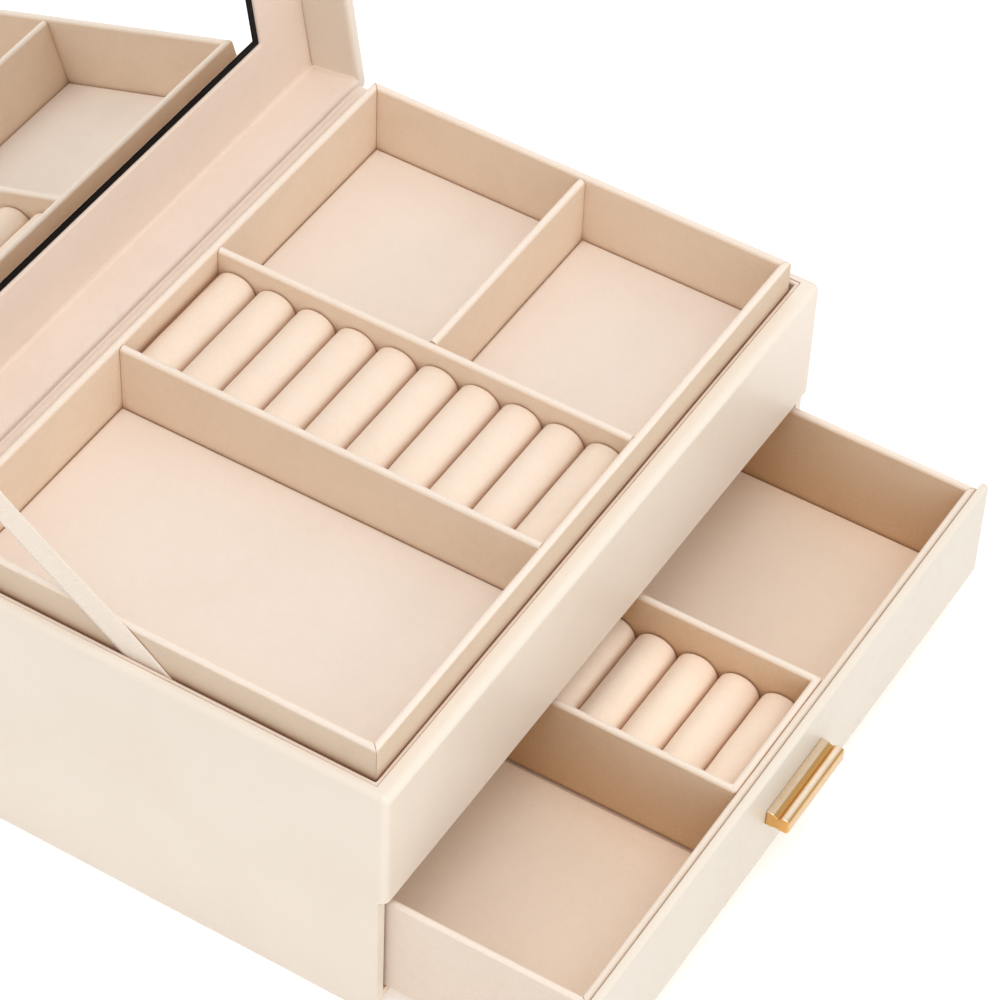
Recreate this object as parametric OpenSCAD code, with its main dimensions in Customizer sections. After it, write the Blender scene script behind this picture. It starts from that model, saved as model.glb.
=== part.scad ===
// Vanity and jewellery box: a leather-covered case with a wide drawer, a
// lift-out velvet tray and a hinged lid that carries a framed mirror.
// Millimetres, +Z up. The front faces -Y. The origin lies on the table below
// the middle of the whole open box.

/* [Case] */
// Outer width of the case, side to side
case_w = 233.6; // [228:0.2:240]
// Outer depth of the case, front to back
case_d = 157; // [150:1:165]
// Height of the case from the table to its rim
case_h = 93.5; // [93:0.5:100]
// Radius of the upright outer corners
corner_r = 2.5; // [0.5:0.25:3]
// Thickness of the covered side boards and of the back board
board_t = 3.4; // [3:0.1:4]
// Thickness of the covered upper front board
front_t = 5.2; // [4.5:0.1:5.4]
// Height of the lower edge of the upper front board
front_z = 50.5; // [50:0.5:51]

/* [Tray] */
// Outer width of the tray, which leaves more play on its right side
tray_w = 220.2; // [216:0.2:221]
// How far the tray walls stand above the rim of the case
tray_rise = 10.9; // [8:0.1:12]
// Thickness of the tray walls and of its dividers
tray_t = 2.6; // [2:0.1:3]
// Number of ring rolls in the tray and in the drawer
roll_n = 10; // [8:1:11]

/* [Drawer] */
// How far the drawer stands open as stored
drawer_open = 61.5; // [20:0.5:80]
// Thickness of the covered drawer panel
panel_t = 3; // [2.5:0.1:3]
// Length of the pull
pull_l = 32.3; // [26:0.1:40]

/* [Lid] */
// Height of the closed lid above the rim
lid_h = 23.5; // [22.5:0.5:26]
// Angle of the lid as stored, where 0 is closed
lid_angle = 99; // [92:1:104]
// Thickness of the lid's side walls
lid_side_t = 4.9; // [4:0.1:5]
// Width of the padded frame around the mirror
frame_w = 21.3; // [20:0.1:24]
// Width of the black line around the mirror
bezel_w = 2.3; // [1.5:0.1:3]
// Width of the stay ribbon
ribbon_w = 10; // [8:0.5:12]

/* [Hidden] */
$fn = 48;

hx = case_w / 2;
hy = case_d / 2;
y0 = 11.1;                       // from the middle of the case to the origin
bx = hx - board_t;               // inner face of the side boards
by = hy - board_t;               // inner face of the back board
fy = -hy + front_t;              // inner face of the upper front board
side_front = -hy + 2.2;          // front edge of the sides below the panel
shelf_top = front_z + 3;
pad_t = 1;

// liners and the gap around the tray
lin_x = bx - 1.3;                // inner face of the side liners
lin_f = fy + 1.3;
lin_b = by - 2.9;
lin_top = case_h - 0.2;

// tray, outer faces
tx0 = -lin_x + 0.9;
tx1 = tx0 + tray_w;
tf = lin_f + 0.4;
tb = lin_b - 0.4;
tray_top = case_h + tray_rise;
tray_z = case_h - 15.9;
tray_floor = tray_z + 2.2;
div_top = tray_top - 0.8;
div_a0 = tx0 + 84.6;             // left divider, left face
div_b0 = tx0 + 133.1;            // middle divider, left face
div_c0 = -3.8;                   // cross divider, front face

// drawer in its closed place; it is drawn moved out by drawer_open
dp_back = side_front - 0.3;      // back face of the drawer panel
dp_z0 = 10.1;
dp_z1 = front_z - 3.4;
dwx = bx - 1.2;                  // outer face of the drawer walls
dw_t = 2.6;
dw_z0 = 9.2;
dw_z1 = front_z - 4.8;
dwf_t = 2.7;
dwb = by - 3.6;                  // outer face of the drawer's back wall
df_in = dp_back + dwf_t;         // inner face of the drawer's front wall
db_in = dwb - dw_t;              // inner face of its back wall
ins_l = -27.8;                   // outer faces of the ring insert
ins_r = 22.3;
ins_t = 2.6;
ins_top = dw_z1 - 0.2;
pull_x = -2.9;                   // middle of the pull
pull_z = 29.4;
screw_x = 9.5;

// lid, closed: u runs forward from the hinge line, w runs up from the rim
lw0 = 0.3;
lpt = 3;                         // lid panel thickness
lw1 = lid_h - lpt;
lf_t = 5.2;                      // front and hinge walls of the lid
lx = hx - lid_side_t;            // inner face of the lid's side walls
fr_w0 = lw1 - 3.5;               // face of the mirror frame
mr_u0 = lf_t + frame_w + 1.6;    // mirror opening
mr_u1 = case_d - mr_u0;
mr_x = lx - frame_w;

// ---- shared shapes -------------------------------------------------------

// A box from two opposite corners, in the frame of the case
module bx3(a, b) {
  translate([a[0], a[1] + y0, a[2]])
    cube([b[0] - a[0], b[1] - a[1], b[2] - a[2]]);
}

// A board across the full width whose two outer corners are round.
// dir = -1 rounds the corners on the -Y side, 1 those on the +Y side
module cornered(w, ya, yb, za, zb, r, dir) {
  yc = dir < 0 ? ya + r : yb - r;
  translate([0, y0, za]) linear_extrude(zb - za) intersection() {
    union() {
      translate([-w / 2, dir < 0 ? yc : ya]) square([w, (dir < 0 ? yb - yc : yc - ya)]);
      translate([-w / 2 + r, ya]) square([w - 2 * r, yb - ya]);
      for (s = [-1, 1]) translate([s * (w / 2 - r), yc]) circle(r = r);
    }
    translate([-w / 2, ya]) square([w, yb - ya]);
  }
}

// The same in the lid's closed frame, where the hinge line is y = 0
module lidded() {
  translate([0, hy + y0, case_h]) rotate([-lid_angle, 0, 0]) children();
}
module lbox(x0, x1, u0, u1, w0, w1) {
  lidded() translate([x0, -u1, w0]) cube([x1 - x0, u1 - u0, w1 - w0]);
}

// A point of the open lid in the side view, in the frame of the case
function lp(u, w) = [
  hy + u * sin(lid_angle - 90) + w * cos(lid_angle - 90),
  case_h + u * cos(lid_angle - 90) - w * sin(lid_angle - 90)
];

// A side-view outline drawn as [y, z] and stretched along X from xa to xb
module side_shape(pts, xa, xb) {
  translate([xa, y0, 0]) rotate([90, 0, 90])
    linear_extrude(xb - xa) polygon(pts);
}

// A row of rolls side by side along Y, on a block that carries them
module rolls(xa, xb, ya, yb, n, zc, zbase) {
  pitch = (yb - ya) / n;
  r = pitch / 2 - 0.06;
  union() {
    for (i = [0 : n - 1])
      translate([xa, ya + pitch * (i + 0.5) + y0, zc]) rotate([0, 90, 0])
        cylinder(r = r, h = xb - xa);
    translate([xa, ya + 0.1 + y0, zbase])
      cube([xb - xa, yb - ya - 0.2, zc - 0.6 - zbase]);
  }
}

module leather() color([0.91, 0.86, 0.79]) children();
module velvet() color([0.88, 0.79, 0.70]) children();
module roll_cloth() color([0.95, 0.88, 0.81]) children();
module gold() color([0.86, 0.66, 0.34]) children();

// ---- case ----------------------------------------------------------------

module case_front_upper() leather()
  cornered(case_w, -hy, fy, front_z, case_h, corner_r, -1);

// Side boards: behind the upper front board, and set back a little below it
module side_board(s) {
  xa = s < 0 ? -hx : bx;
  bx3([xa, fy, 0], [xa + board_t, by, case_h]);
  bx3([xa, side_front, 0], [xa + board_t, fy, front_z]);
}
module case_side_left() leather() union() side_board(-1);
module case_side_right() leather() union() side_board(1);

module case_back() leather()
  cornered(case_w, by, hy, 0, case_h, corner_r, 1);

module case_bottom() velvet()
  bx3([-bx, side_front, 5.7], [bx, by, 8.7]);

module case_shelf() velvet()
  bx3([-bx, fy, front_z], [bx, by, shelf_top]);

module middle_floor_pad() velvet()
  bx3([-lin_x, lin_f, shelf_top], [lin_x, lin_b, shelf_top + pad_t]);

module liner_front() velvet()
  bx3([-bx, fy, shelf_top], [bx, lin_f, lin_top]);
module liner_back() velvet()
  bx3([-bx, lin_b, shelf_top], [bx, by, lin_top]);
module liner_left() velvet()
  bx3([-bx, lin_f, shelf_top], [-lin_x, lin_b, lin_top]);
module liner_right() velvet()
  bx3([lin_x, lin_f, shelf_top], [bx, lin_b, lin_top]);

// Two strips that the tray rests on
module ledge_left() velvet()
  bx3([-lin_x, lin_f, shelf_top + pad_t], [-lin_x + 6, lin_b, tray_z - 0.1]);
module ledge_right() velvet()
  bx3([lin_x - 6, lin_f, shelf_top + pad_t], [lin_x, lin_b, tray_z - 0.1]);

// ---- lift-out tray ---------------------------------------------------------

module tray_wall_front() velvet()
  bx3([tx0, tf, tray_z], [tx1, tf + tray_t, tray_top]);
module tray_wall_back() velvet()
  bx3([tx0, tb - tray_t, tray_z], [tx1, tb, tray_top]);
module tray_wall_left() velvet()
  bx3([tx0, tf + tray_t, tray_z], [tx0 + tray_t, tb - tray_t, tray_top]);
module tray_wall_right() velvet()
  bx3([tx1 - tray_t, tf + tray_t, tray_z], [tx1, tb - tray_t, tray_top]);
module tray_bottom() velvet()
  bx3([tx0 + tray_t, tf + tray_t, tray_z], [tx1 - tray_t, tb - tray_t, tray_floor]);

module divider_left() velvet()
  bx3([div_a0, tf + tray_t, tray_floor], [div_a0 + tray_t, tb - tray_t, div_top]);
module divider_mid() velvet()
  bx3([div_b0, tf + tray_t, tray_floor], [div_b0 + tray_t, tb - tray_t, div_top]);
module divider_cross() velvet()
  bx3([div_b0 + tray_t, div_c0, tray_floor], [tx1 - tray_t, div_c0 + tray_t, div_top]);

module tray_pad_left() velvet()
  bx3([tx0 + tray_t, tf + tray_t, tray_floor], [div_a0, tb - tray_t, tray_floor + pad_t]);
module tray_pad_back() velvet()
  bx3([div_b0 + tray_t, div_c0 + tray_t, tray_floor], [tx1 - tray_t, tb - tray_t, tray_floor + pad_t]);
module tray_pad_front() velvet()
  bx3([div_b0 + tray_t, tf + tray_t, tray_floor], [tx1 - tray_t, div_c0, tray_floor + pad_t]);

module ring_rolls_tray() roll_cloth()
  rolls(div_a0 + tray_t + 0.2, div_b0 - 0.2, tf + tray_t, tb - tray_t, roll_n,
        case_h - 2.4, tray_floor);

// ---- drawer ----------------------------------------------------------------

module out() translate([0, -drawer_open, 0]) children();

module drawer_front() leather() out() difference() {
  bx3([-hx + 2.4, dp_back - panel_t, dp_z0], [hx - 2.4, dp_back, dp_z1]);
  for (s = [-1, 1])
    translate([pull_x + s * screw_x, dp_back - panel_t - 1 + y0, pull_z])
      rotate([-90, 0, 0]) cylinder(r = 1.7, h = panel_t + 2);
}
module drawer_wall_front() velvet() out() difference() {
  bx3([-dwx, dp_back, dw_z0], [dwx, df_in, dw_z1]);
  for (s = [-1, 1])
    translate([pull_x + s * screw_x, dp_back - 1 + y0, pull_z])
      rotate([-90, 0, 0]) cylinder(r = 3.3, h = dwf_t + 2);
}
module drawer_wall_back() velvet() out()
  bx3([-dwx, db_in, dw_z0], [dwx, dwb, dw_z1]);
module drawer_wall_left() velvet() out()
  bx3([-dwx, df_in, dw_z0], [-dwx + dw_t, db_in, dw_z1]);
module drawer_wall_right() velvet() out()
  bx3([dwx - dw_t, df_in, dw_z0], [dwx, db_in, dw_z1]);
module drawer_bottom() velvet() out()
  bx3([-dwx + dw_t, df_in, dw_z0], [dwx - dw_t, db_in, dw_z0 + 2]);
module drawer_pad_left() velvet() out()
  bx3([-dwx + dw_t, df_in, dw_z0 + 2], [ins_l, db_in, dw_z0 + 2 + pad_t]);
module drawer_pad_right() velvet() out()
  bx3([ins_r, df_in, dw_z0 + 2], [dwx - dw_t, db_in, dw_z0 + 2 + pad_t]);

// Ring insert: a small open box with its own narrower floor
module insert_left() velvet() out()
  bx3([ins_l, df_in, dw_z0 + 3.5], [ins_l + ins_t, db_in, ins_top]);
module insert_right() velvet() out()
  bx3([ins_r - ins_t, df_in, dw_z0 + 3.5], [ins_r, db_in, ins_top]);
module insert_front() velvet() out()
  bx3([ins_l + ins_t, df_in, dw_z0 + 3.5], [ins_r - ins_t, df_in + ins_t, ins_top]);
module insert_back() velvet() out()
  bx3([ins_l + ins_t, db_in - ins_t, dw_z0 + 3.5], [ins_r - ins_t, db_in, ins_top]);
module insert_floor() velvet() out()
  bx3([ins_l + 0.8, df_in + 0.4, dw_z0 + 2], [ins_r - 0.8, db_in - 0.4, dw_z0 + 3.5]);
module ring_rolls_drawer() roll_cloth() out()
  rolls(ins_l + ins_t + 0.2, ins_r - ins_t - 0.2, df_in + ins_t, db_in - ins_t,
        roll_n, dw_z0 + 17.3, dw_z0 + 3.5);

// Pull with a wide flange on the panel, a narrow waist and a lip
module handle() gold() out() difference() {
  translate([pull_x - pull_l / 2, dp_back - panel_t + y0, pull_z])
    rotate([90, 0, 90]) linear_extrude(pull_l)
      polygon([[0, -2.7], [0, 2.7], [-2.9, 2.7], [-2.9, 1.5], [-5, 1.5],
               [-5, 2.5], [-7.4, 2.5], [-7.4, -2.5], [-5, -2.5], [-5, -1.5],
               [-2.9, -1.5], [-2.9, -2.7]]);
  for (s = [-1, 1])
    translate([pull_x + s * screw_x, dp_back - panel_t - 4.5 + y0, pull_z])
      rotate([-90, 0, 0]) cylinder(r = 1.5, h = 6);
}

// Screws that hold the pull, with their heads under the drawer's lining
module pull_screw(s) {
  translate([pull_x + s * screw_x, dp_back + y0, pull_z]) rotate([-90, 0, 0])
    union() {
      translate([0, 0, 0.01]) cylinder(r = 2.9, h = 1.9);
      translate([0, 0, -panel_t - 4.2]) cylinder(r = 1.45, h = panel_t + 4.4);
    }
}
module handle_screw_left() color([0.75, 0.75, 0.77]) out() pull_screw(-1);
module handle_screw_right() color([0.75, 0.75, 0.77]) out() pull_screw(1);

// ---- lid -------------------------------------------------------------------

module lid_plan(r) {
  union() {
    translate([-hx, -case_d + r]) square([case_w, case_d - 2 * r]);
    translate([-hx + r, -case_d]) square([case_w - 2 * r, case_d]);
    for (s = [-1, 1], t = [-case_d + r, -r])
      translate([s * (hx - r), t]) circle(r = r);
  }
}
module lid_panel() leather() lidded()
  translate([0, 0, lw1]) linear_extrude(lpt) lid_plan(corner_r);
module lid_wall_back() leather() lidded()
  translate([0, 0, lw0]) linear_extrude(lw1 - lw0) intersection() {
    lid_plan(corner_r);
    translate([-hx, -lf_t]) square([case_w, lf_t]);
  }
module lid_wall_front() leather() lidded()
  translate([0, 0, lw0]) linear_extrude(lw1 - lw0) intersection() {
    lid_plan(corner_r);
    translate([-hx, -case_d]) square([case_w, lf_t]);
  }
module lid_wall_left() leather() lbox(-hx, -lx, lf_t, case_d - lf_t, lw0, lw1);
module lid_wall_right() leather() lbox(lx, hx, lf_t, case_d - lf_t, lw0, lw1);

module mirror_frame_back() velvet() lbox(-lx, lx, lf_t, mr_u0, fr_w0, lw1);
module mirror_frame_front() velvet() lbox(-lx, lx, mr_u1, case_d - lf_t, fr_w0, lw1);
module mirror_frame_left() velvet() lbox(-lx, -mr_x, mr_u0, mr_u1, fr_w0, lw1);
module mirror_frame_right() velvet() lbox(mr_x, lx, mr_u0, mr_u1, fr_w0, lw1);

module mirror_bezel() color([0.06, 0.05, 0.05]) difference() {
  lbox(-mr_x, mr_x, mr_u0, mr_u1, lw1 - 2.7, lw1 - 0.5);
  lbox(-mr_x + bezel_w, mr_x - bezel_w, mr_u0 + bezel_w, mr_u1 - bezel_w,
       lw1 - 3.5, lw1);
}
module mirror_glass() color([0.8, 0.83, 0.85])
  lbox(-mr_x + bezel_w, mr_x - bezel_w, mr_u0 + bezel_w, mr_u1 - bezel_w,
       lw1 - 2.5, lw1 - 0.5);
module mirror_backing() color([0.62, 0.52, 0.4])
  lbox(-mr_x, mr_x, mr_u0, mr_u1, lw1 - 0.5, lw1);

// Stay ribbon: a flat band on edge, from the gap beside the tray to the
// inner face of the lid's left wall, with a slight sag. Points are [y, z]
// from the middle of the case.
rib_path = [[-16, 82], [1.5, 93.5], [15, 102.2], [28, 110.8], [44.5, 125],
            [62, 140], [79, 154.5], [96, 169]];
rib_x = -lin_x + 0.25;
function unit(v) = v / norm(v);
function tang(i) = unit(i == 0 ? rib_path[1] - rib_path[0]
    : i == len(rib_path) - 1 ? rib_path[i] - rib_path[i - 1]
    : unit(rib_path[i + 1] - rib_path[i]) + unit(rib_path[i] - rib_path[i - 1]));
function side_of(s) = [for (i = [0 : len(rib_path) - 1])
    rib_path[i] + s * ribbon_w / 2 * [-tang(i)[1], tang(i)[0]]];
function turned(v) = [for (i = [len(v) - 1 : -1 : 0]) v[i]];
module ribbon() color([0.95, 0.91, 0.86])
  side_shape(concat(side_of(-1), turned(side_of(1))), rib_x, rib_x + 0.4);

// Outer hinge strip, folded along the hinge line
module hinge_leather() leather()
  side_shape([[hy, case_h - 14], [hy + 0.6, case_h - 14], [hy + 0.6, case_h - 0.7],
              lp(-0.6, 14), lp(0, 14), [hy, case_h]], -hx + 3, hx - 3);

// Velvet strip over the back rim and up the edge of the lid
module hinge_velvet() velvet()
  side_shape([[lin_b + 0.2, case_h], [hy, case_h], lp(lf_t, lw0),
              lp(lf_t, -0.1), [hy - 0.04, case_h + 0.4],
              [lin_b + 0.2, case_h + 0.4]], -bx, bx);

case_front_upper();
case_side_left();
case_side_right();
case_back();
case_bottom();
case_shelf();
middle_floor_pad();
liner_front();
liner_back();
liner_left();
liner_right();
ledge_left();
ledge_right();
tray_wall_front();
tray_wall_back();
tray_wall_left();
tray_wall_right();
tray_bottom();
divider_left();
divider_mid();
divider_cross();
tray_pad_left();
tray_pad_back();
tray_pad_front();
ring_rolls_tray();
drawer_front();
drawer_wall_left();
drawer_wall_right();
drawer_wall_front();
drawer_wall_back();
drawer_bottom();
drawer_pad_left();
drawer_pad_right();
insert_left();
insert_right();
insert_front();
insert_back();
insert_floor();
ring_rolls_drawer();
handle();
handle_screw_left();
handle_screw_right();
lid_panel();
lid_wall_back();
lid_wall_front();
lid_wall_left();
lid_wall_right();
mirror_frame_back();
mirror_frame_front();
mirror_frame_left();
mirror_frame_right();
mirror_bezel();
mirror_glass();
mirror_backing();
ribbon();
hinge_leather();
hinge_velvet();
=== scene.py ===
import math
import bpy
import bmesh
from mathutils import Matrix, Vector, noise


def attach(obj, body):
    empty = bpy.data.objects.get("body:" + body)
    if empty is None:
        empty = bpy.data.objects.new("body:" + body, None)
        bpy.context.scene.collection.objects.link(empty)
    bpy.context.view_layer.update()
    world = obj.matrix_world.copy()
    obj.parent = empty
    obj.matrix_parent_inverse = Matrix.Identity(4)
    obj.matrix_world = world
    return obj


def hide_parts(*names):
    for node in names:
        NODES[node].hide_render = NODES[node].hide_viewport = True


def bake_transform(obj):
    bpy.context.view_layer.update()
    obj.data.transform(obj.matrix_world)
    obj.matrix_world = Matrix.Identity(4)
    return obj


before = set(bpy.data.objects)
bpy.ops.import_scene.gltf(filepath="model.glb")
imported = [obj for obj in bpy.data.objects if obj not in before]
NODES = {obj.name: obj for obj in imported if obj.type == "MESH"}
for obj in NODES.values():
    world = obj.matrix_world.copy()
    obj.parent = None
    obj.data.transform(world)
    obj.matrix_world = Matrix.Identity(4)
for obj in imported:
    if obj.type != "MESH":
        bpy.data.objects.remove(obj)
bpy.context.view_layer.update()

Y0 = 11.1          # the case's own frame lies this far behind the origin, mm
MM = 0.001
TILT = math.radians(9.0)      # how far the open lid leans back past upright
OPEN = 61.5        # how far the drawer stands open, mm

# --------------------------------------------------------------------------
# places, all in millimetres in the case's own frame

def P(x, y, z):
    return Vector((x * MM, (y + Y0) * MM, z * MM))


def lid_yz(u, w):
    """A point of the lid, given closed: u forward from the hinge, w up."""
    return (78.5 + u * math.sin(TILT) + w * math.cos(TILT),
            93.5 + u * math.cos(TILT) - w * math.sin(TILT))


def lid_place(p):
    y, z = lid_yz(p[1], p[2])
    return (p[0], y, z)


def drawer_place(p):
    return (p[0], p[1] - OPEN, p[2])


def same(p):
    return p


# --------------------------------------------------------------------------
# materials

def lin(r, g, b):
    out = []
    for c in (r, g, b):
        c = c / 255.0
        out.append(c / 12.92 if c <= 0.04045 else ((c + 0.055) / 1.055) ** 2.4)
    return (out[0], out[1], out[2], 1.0)


class Mat:
    """A small helper that keeps node making short."""

    def __init__(self, name):
        self.m = bpy.data.materials.new(name)
        self.m.use_nodes = True
        self.t = self.m.node_tree
        self.bsdf = self.t.nodes["Principled BSDF"]
        self.x = -300

    def n(self, kind, **inputs):
        node = self.t.nodes.new(kind)
        node.location = (self.x, 0)
        self.x -= 60
        for k, v in inputs.items():
            if k.startswith("_"):
                setattr(node, k[1:], v)
            else:
                node.inputs[k.replace("_", " ")].default_value = v
        return node

    def link(self, a, b):
        self.t.links.new(a, b)

    def set(self, **kw):
        for k, v in kw.items():
            self.bsdf.inputs[k.replace("_", " ")].default_value = v

    def coords(self, scale=(1, 1, 1), rot=(0, 0, 0)):
        tc = self.n("ShaderNodeTexCoord")
        mp = self.n("ShaderNodeMapping")
        mp.inputs["Scale"].default_value = scale
        mp.inputs["Rotation"].default_value = rot
        self.link(tc.outputs["Object"], mp.inputs["Vector"])
        return mp.outputs["Vector"]

    def noise(self, vec, scale, detail=2.0, rough=0.5, distort=0.0):
        nd = self.n("ShaderNodeTexNoise")
        nd.inputs["Scale"].default_value = scale
        nd.inputs["Detail"].default_value = detail
        nd.inputs["Roughness"].default_value = rough
        nd.inputs["Distortion"].default_value = distort
        self.link(vec, nd.inputs["Vector"])
        return nd.outputs["Fac"]

    def ramp(self, fac, stops):
        r = self.n("ShaderNodeValToRGB")
        while len(r.color_ramp.elements) > 1:
            r.color_ramp.elements.remove(r.color_ramp.elements[-1])
        r.color_ramp.elements[0].position = stops[0][0]
        r.color_ramp.elements[0].color = stops[0][1]
        for pos, col in stops[1:]:
            e = r.color_ramp.elements.new(pos)
            e.color = col
        self.link(fac, r.inputs["Fac"])
        return r.outputs["Color"]

    def mix(self, fac, a, b, mode="MIX"):
        m = self.n("ShaderNodeMix")
        m.data_type = "RGBA"
        m.blend_type = mode
        if isinstance(fac, float):
            m.inputs["Factor"].default_value = fac
        else:
            self.link(fac, m.inputs["Factor"])
        ia = [s for s in m.inputs if s.name == "A" and s.type == "RGBA"][0]
        ib = [s for s in m.inputs if s.name == "B" and s.type == "RGBA"][0]
        for sock, v in ((ia, a), (ib, b)):
            if isinstance(v, tuple):
                sock.default_value = v
            else:
                self.link(v, sock)
        return [s for s in m.outputs if s.type == "RGBA"][0]

    def math(self, op, a, b=None, clamp=False):
        m = self.n("ShaderNodeMath")
        m.operation = op
        m.use_clamp = clamp
        for i, v in enumerate((a, b)):
            if v is None:
                continue
            if isinstance(v, (int, float)):
                m.inputs[i].default_value = v
            else:
                self.link(v, m.inputs[i])
        return m.outputs[0]

    def map(self, v, a, b, c, d):
        m = self.n("ShaderNodeMapRange")
        m.inputs["From Min"].default_value = a
        m.inputs["From Max"].default_value = b
        m.inputs["To Min"].default_value = c
        m.inputs["To Max"].default_value = d
        self.link(v, m.inputs["Value"])
        return m.outputs["Result"]

    def bump(self, height, strength, distance, under=None):
        b = self.n("ShaderNodeBump")
        b.inputs["Strength"].default_value = strength
        b.inputs["Distance"].default_value = distance
        self.link(height, b.inputs["Height"])
        if under is not None:
            self.link(under, b.inputs["Normal"])
        return b.outputs["Normal"]

    def color(self, sock):
        self.link(sock, self.bsdf.inputs["Base Color"])

    def rough(self, sock):
        self.link(sock, self.bsdf.inputs["Roughness"])

    def normal(self, sock):
        self.link(sock, self.bsdf.inputs["Normal"])


def scaled(c, k):
    return (min(c[0] * k[0], 1), min(c[1] * k[1], 1), min(c[2] * k[2], 1), 1.0)


def velvet(name, base, sheen=0.18, grain=1.0, top=None, painted_recess_light_shade=None, cloudy=1.0,
           reach=(0.12, 0.14, 0.34), painted_contact_shade=(0.66, 0.44, 0.28, 1.0)):
    """Short-pile velvet: cloudy nap, brushed patches and fine pile. A given top
    colour lightens faces that look up (painted light from above); a given recess tint multiplies the colour where
    ambient occlusion is low (painted shade in recesses, painted bounce light where the tint is above one), and the
    contact tint browns it where another surface lies close (painted contact shade)."""
    m = Mat(name)
    v = m.coords()
    cloud = m.noise(v, 38.0, 3.0, 0.55, 0.4)
    patch = m.noise(v, 210.0, 3.0, 0.6, 0.8)
    pile = m.noise(v, 2600.0, 2.0, 0.65)
    nap = m.noise(v, 950.0, 3.0, 0.7, 0.3)
    light = scaled(base, (1 + 0.03 * cloudy, 1 + 0.035 * cloudy, 1 + 0.045 * cloudy))
    dark = scaled(base, (1 - 0.045 * cloudy, 1 - 0.06 * cloudy, 1 - 0.08 * cloudy))
    mixed = m.math("ADD", m.math("MULTIPLY", cloud, 0.40), m.math("MULTIPLY", patch, 0.26))
    col = m.ramp(m.math("ADD", mixed, m.math("MULTIPLY", nap, 0.34)),
                 [(0.36, dark), (0.5, base), (0.64, light)])
    # painted light: faces that look up are mixed towards the lighter top colour
    if top is not None:
        geo = m.n("ShaderNodeNewGeometry")
        sep = m.n("ShaderNodeSeparateXYZ")
        m.link(geo.outputs["Normal"], sep.inputs["Vector"])
        col = m.mix(m.map(sep.outputs["Z"], 0.15, 0.8, 0.0, 1.0), col, top)
    # painted shade in recesses: where ambient occlusion is low the colour is multiplied by the recess tint; a tint
    # above one paints bounce light there instead
    if painted_recess_light_shade is not None:
        ao = m.n("ShaderNodeAmbientOcclusion")
        ao.samples = 5
        ao.inputs["Distance"].default_value = reach[0]
        tint = m.mix(m.map(ao.outputs["AO"], reach[1], reach[2], 0.0, 1.0), painted_recess_light_shade, (1.0, 1.0, 1.0, 1.0))
        col = m.mix(1.0, col, tint, "MULTIPLY")
    # painted contact shade: the pile turns browner where another surface lies within 4.5 mm; every velvet gets this
    if painted_contact_shade is not None:
        near = m.n("ShaderNodeAmbientOcclusion")
        near.samples = 5
        near.inputs["Distance"].default_value = 0.0045
        tint = m.mix(m.map(near.outputs["AO"], 0.08, 0.52, 0.0, 1.0), painted_contact_shade, (1.0, 1.0, 1.0, 1.0))
        col = m.mix(1.0, col, tint, "MULTIPLY")
    pale = m.mix(m.map(pile, 0.3, 0.7, 0.0, 0.35 * grain), col, scaled(base, (0.90, 0.885, 0.87)))
    m.color(pale)
    m.rough(m.map(patch, 0.3, 0.7, 0.84, 0.95))
    n1 = m.bump(pile, 0.35 * grain, 0.00012)
    m.normal(m.bump(patch, 0.25, 0.00035, n1))
    m.set(Sheen_Weight=sheen, Sheen_Roughness=0.42, Sheen_Tint=(1.0, 0.93, 0.86, 1.0),
          Specular_IOR_Level=0.15)
    return m.m


def leather(name, base, rough=0.42, grain=1.0, top=None):
    """Smooth coated leather: faint pebbling, soft clouding, satin coat. A given top colour lightens faces that look up:
    painted light from above.
    """
    m = Mat(name)
    v = m.coords()
    cloud = m.noise(v, 16.0, 3.0, 0.5, 0.3)
    speck = m.noise(v, 900.0, 2.0, 0.5)
    col = m.ramp(cloud, [(0.35, scaled(base, (0.975, 0.965, 0.95))), (0.5, base),
                         (0.65, scaled(base, (1.015, 1.02, 1.025)))])
    col = m.mix(m.map(speck, 0.35, 0.65, 0.0, 0.12), col, scaled(base, (0.93, 0.9, 0.86)))
    # painted light: faces that look up are mixed towards the lighter top colour
    if top is not None:
        geo = m.n("ShaderNodeNewGeometry")
        sep = m.n("ShaderNodeSeparateXYZ")
        m.link(geo.outputs["Normal"], sep.inputs["Vector"])
        col = m.mix(m.map(sep.outputs["Z"], 0.1, 0.7, 0.0, 1.0), col, top)
    m.color(col)
    vor = m.n("ShaderNodeTexVoronoi")
    vor.feature = "SMOOTH_F1"
    vor.inputs["Scale"].default_value = 1150.0
    vor.inputs["Smoothness"].default_value = 0.6
    m.link(v, vor.inputs["Vector"])
    wave = m.noise(v, 55.0, 2.0, 0.5)
    n1 = m.bump(vor.outputs["Distance"], 0.16 * grain, 0.00014)
    n2 = m.bump(speck, 0.10 * grain, 0.0001, n1)
    n3 = m.bump(wave, 0.10, 0.0006, n2)
    m.normal(n3)
    m.rough(m.map(m.noise(v, 320.0, 3.0, 0.6), 0.3, 0.7, rough - 0.05, rough + 0.07))
    m.set(Specular_IOR_Level=0.45, Coat_Weight=0.12, Coat_Roughness=0.28)
    return m.m


C_VELVET = lin(234, 213, 191)
C_ROLL = lin(238, 220, 203)
C_LEATHER = lin(230, 218, 204)

# painted light: up-facing leather is mixed towards the lighter top colour
M_LEATHER = leather("leather_cream", C_LEATHER, top=lin(235, 224, 210))
# painted shade: the drawer panel takes a darker copy of the cream leather, and its lighter top colour is painted light
M_PANEL = leather("leather_panel", lin(211, 202, 189), rough=0.40, top=lin(230, 220, 206))
# painted shade: a darker copy of the cream leather for the inner faces of the lid's side walls
M_LEATHER_SIDE_SHADE = leather("leather_side_shade", lin(222, 199, 172), rough=0.5)
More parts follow.
